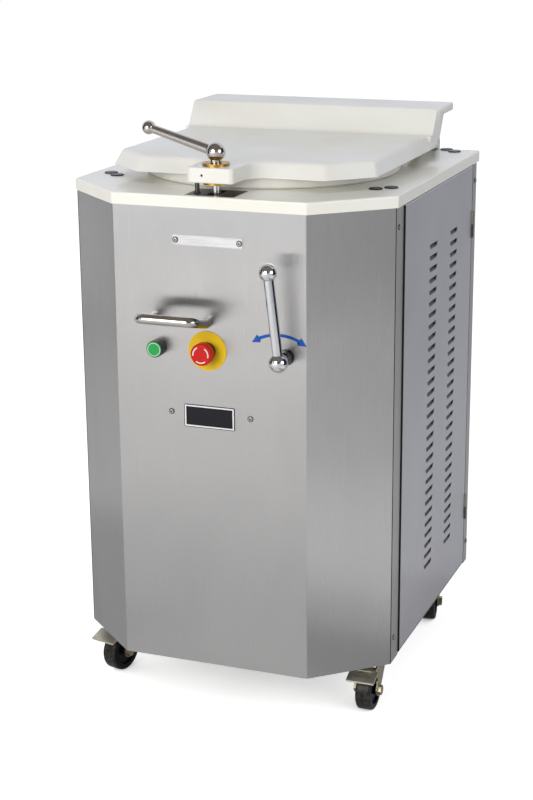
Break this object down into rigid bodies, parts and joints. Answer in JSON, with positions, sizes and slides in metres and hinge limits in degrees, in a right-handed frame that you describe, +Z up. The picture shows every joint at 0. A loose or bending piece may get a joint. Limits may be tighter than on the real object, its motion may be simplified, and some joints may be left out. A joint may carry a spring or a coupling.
{
  "type": "dough divider rounder",
  "caption": "Free-standing hydraulic dough divider rounder: stainless cabinet on castors, cast table with hinged lid over a round chamber, clamp lever, press lever and push buttons.",
  "frame": {"origin": "on the floor below the middle of the table", "axes": "+X to the right of someone at the controls, +Y to the rear, +Z up"},
  "size_m": [0.62, 0.779, 1.1045],
  "materials": {
    "stainless": "brushed",
    "cream_enamel": "gloss",
    "disc_white": "satin",
    "polished_chrome": "polished",
    "bright_steel": "turned",
    "bush_brass": "turned",
    "black_cap": "gloss",
    "latch_iron": "blackened",
    "switch_plastic": "satin",
    "green_plastic": "gloss",
    "red_plastic": "gloss",
    "yellow_plastic": "satin",
    "dark_plate": "anodised",
    "zinc": "zinc plated",
    "wheel_rubber": "matte",
    "frame_paint": "matte",
    "drive_iron": "machined",
    "motor_paint": "painted",
    "tank_skin": "matte",
    "box_skin": "matte",
    "belt_rubber": "matte",
    "press_alloy": "machined",
    "knife_steel": "ground",
    "gland_plastic": "matte"
  },
  "bodies": {
    "cabinet": {"frame": "frame_paint", "front_panel": "stainless", "left_panel": "stainless", "rear_panel": "stainless", "door_hinge_leaves": "bright_steel", "panel_screws": "bright_steel", "strip_blank": "bright_steel", "badge_blank": "dark_plate", "table_top": "cream_enamel", "table_plugs": "black_cap", "latch_plate": "latch_iron", "lid_hinges": "bright_steel", "grab_handle": "polished_chrome", "start_switch_body": "switch_plastic", "estop_switch_body": "switch_plastic", "estop_disc_plate": "yellow_plastic", "lever_bush": "bright_steel", "valve_block": "drive_iron", "oil_tank": "tank_skin", "pump_unit": "motor_paint", "control_box": "box_skin", "cable_gland": "gland_plastic", "drive_deck": "frame_paint", "bearing_housings": "drive_iron", "rounding_motor": "motor_paint", "drive_belt": "belt_rubber", "castor_plates": "zinc"},
    "lid": {"lid": "cream_enamel", "lid_press_disc": "disc_white", "clamp_bushes": "bush_brass", "lid_locating_pin": "bright_steel"},
    "clamp": {"clamp_lever": "polished_chrome", "clamp_shaft": "bright_steel"},
    "press_lever": {"press_lever": "polished_chrome", "press_lever_shaft": "bright_steel"},
    "start_button": {"start_button_cap": "green_plastic"},
    "estop_plunger": {"estop_stem": "switch_plastic"},
    "estop_head": {"estop_head": "red_plastic"},
    "door": {"door_panel": "stainless", "door_hinge_knuckles": "bright_steel"},
    "drive_eccentric": {"drive_eccentric": "drive_iron"},
    "idler_right": {"idler_eccentric_right": "drive_iron"},
    "idler_left": {"idler_eccentric_left": "drive_iron"},
    "motor_pulley": {"motor_pulley": "drive_iron"},
    "carriage": {"rounding_carriage": "bright_steel", "press_cylinder": "bright_steel"},
    "ram": {"ram_rod": "bright_steel", "press_plate": "press_alloy"},
    "knives": {"knife_grid": "knife_steel", "knife_carrier": "press_alloy"},
    "castor_front_left": {"castor_fork_front_left": "zinc"},
    "wheel_front_left": {"castor_wheel_front_left": "wheel_rubber"},
    "castor_front_right": {"castor_fork_front_right": "zinc"},
    "wheel_front_right": {"castor_wheel_front_right": "wheel_rubber"},
    "castor_rear_left": {"castor_fork_rear_left": "zinc"},
    "wheel_rear_left": {"castor_wheel_rear_left": "wheel_rubber"},
    "castor_rear_right": {"castor_fork_rear_right": "zinc"},
    "wheel_rear_right": {"castor_wheel_rear_right": "wheel_rubber"},
    "pedal_front_left": {"brake_pedal_front_left": "zinc"},
    "pedal_front_right": {"brake_pedal_front_right": "zinc"}
  },
  "joints": [
    {"name": "lid_hinge", "type": "hinge", "parent": "cabinet", "child": "lid", "pos_m": [0, 0.32, 1], "axis": [-1, 0, 0], "range_deg": [0, 85]},
    {"name": "clamp_turn", "type": "hinge", "parent": "lid", "child": "clamp", "pos_m": [0, -0.295, 1.048], "axis": [0, 0, 1], "range_deg": [0, 90]},
    {"name": "press_lever_turn", "type": "hinge", "parent": "cabinet", "child": "press_lever", "pos_m": [0.145, -0.38, 0.716], "axis": [0, 1, 0], "range_deg": [-32, 38]},
    {"name": "start_push", "type": "slide", "parent": "cabinet", "child": "start_button", "axis": [0, 1, 0], "range_m": [0, 0.004], "stiffness_N_per_m": 400},
    {"name": "estop_push", "type": "slide", "parent": "cabinet", "child": "estop_plunger", "axis": [0, 1, 0], "range_m": [0, 0.005]},
    {"name": "estop_twist", "type": "hinge", "parent": "estop_plunger", "child": "estop_head", "pos_m": [-0.004, -0.35, 0.714], "axis": [0, -1, 0], "range_deg": [0, 30]},
    {"name": "door_hinge", "type": "hinge", "parent": "cabinet", "child": "door", "pos_m": [0.306, 0.3045, 0.54], "axis": [0, 0, 1], "range_deg": [0, 110]},
    {"name": "drive_turn", "type": "hinge", "parent": "cabinet", "child": "drive_eccentric", "pos_m": [0, 0.256, 0.85], "axis": [0, 0, 1], "continuous": true},
    {"name": "carriage_orbit", "type": "hinge", "parent": "drive_eccentric", "child": "carriage", "pos_m": [0.008, 0.256, 0.894], "axis": [0, 0, 1], "continuous": true},
    {"name": "idler_right_turn", "type": "hinge", "parent": "cabinet", "child": "idler_right", "pos_m": [0.22389, -0.1479, 0.85], "axis": [0, 0, 1], "continuous": true},
    {"name": "idler_left_turn", "type": "hinge", "parent": "cabinet", "child": "idler_left", "pos_m": [-0.22389, -0.1479, 0.85], "axis": [0, 0, 1], "continuous": true},
    {"name": "motor_turn", "type": "hinge", "parent": "cabinet", "child": "motor_pulley", "pos_m": [-0.165, 0.236, 0.786], "axis": [0, 0, 1], "continuous": true},
    {"name": "press_ram", "type": "slide", "parent": "carriage", "child": "ram", "axis": [0, 0, 1], "range_m": [0, 0.04]},
    {"name": "knife_lift", "type": "slide", "parent": "ram", "child": "knives", "axis": [0, 0, 1], "range_m": [0, 0.025]},
    {"name": "swivel_front_left", "type": "hinge", "parent": "cabinet", "child": "castor_front_left", "pos_m": [-0.255, -0.163, 0.096], "axis": [0, 0, 1], "continuous": true},
    {"name": "spin_front_left", "type": "hinge", "parent": "castor_front_left", "child": "wheel_front_left", "pos_m": [-0.26347, -0.19696, 0.04], "axis": [-0.9703, 0.2419, 0], "continuous": true},
    {"name": "swivel_front_right", "type": "hinge", "parent": "cabinet", "child": "castor_front_right", "pos_m": [0.255, -0.163, 0.096], "axis": [0, 0, 1], "continuous": true},
    {"name": "spin_front_right", "type": "hinge", "parent": "castor_front_right", "child": "wheel_front_right", "pos_m": [0.255, -0.198, 0.04], "axis": [-1, 0, 0], "continuous": true},
    {"name": "swivel_rear_left", "type": "hinge", "parent": "cabinet", "child": "castor_rear_left", "pos_m": [-0.255, 0.215, 0.096], "axis": [0, 0, 1], "continuous": true},
    {"name": "spin_rear_left", "type": "hinge", "parent": "castor_rear_left", "child": "wheel_rear_left", "pos_m": [-0.24594, 0.24881, 0.04], "axis": [0.9659, -0.2588, 0], "continuous": true},
    {"name": "swivel_rear_right", "type": "hinge", "parent": "cabinet", "child": "castor_rear_right", "pos_m": [0.255, 0.215, 0.096], "axis": [0, 0, 1], "continuous": true},
    {"name": "spin_rear_right", "type": "hinge", "parent": "castor_rear_right", "child": "wheel_rear_right", "pos_m": [0.24892, 0.24947, 0.04], "axis": [0.9848, 0.1736, 0], "continuous": true},
    {"name": "brake_front_left", "type": "hinge", "parent": "castor_front_left", "child": "pedal_front_left", "pos_m": [-0.26758, -0.21346, 0.084], "axis": [0.9703, -0.2419, 0], "range_deg": [0, 12]},
    {"name": "brake_front_right", "type": "hinge", "parent": "castor_front_right", "child": "pedal_front_right", "pos_m": [0.255, -0.215, 0.084], "axis": [1, 0, 0], "range_deg": [0, 12]}
  ],
  "couplings": [
    {"joint": "carriage_orbit", "follows": "drive_turn", "ratio": -1},
    {"joint": "idler_right_turn", "follows": "drive_turn", "ratio": 1},
    {"joint": "idler_left_turn", "follows": "drive_turn", "ratio": 1},
    {"joint": "motor_turn", "follows": "drive_turn", "ratio": 2.0667}
  ]
}
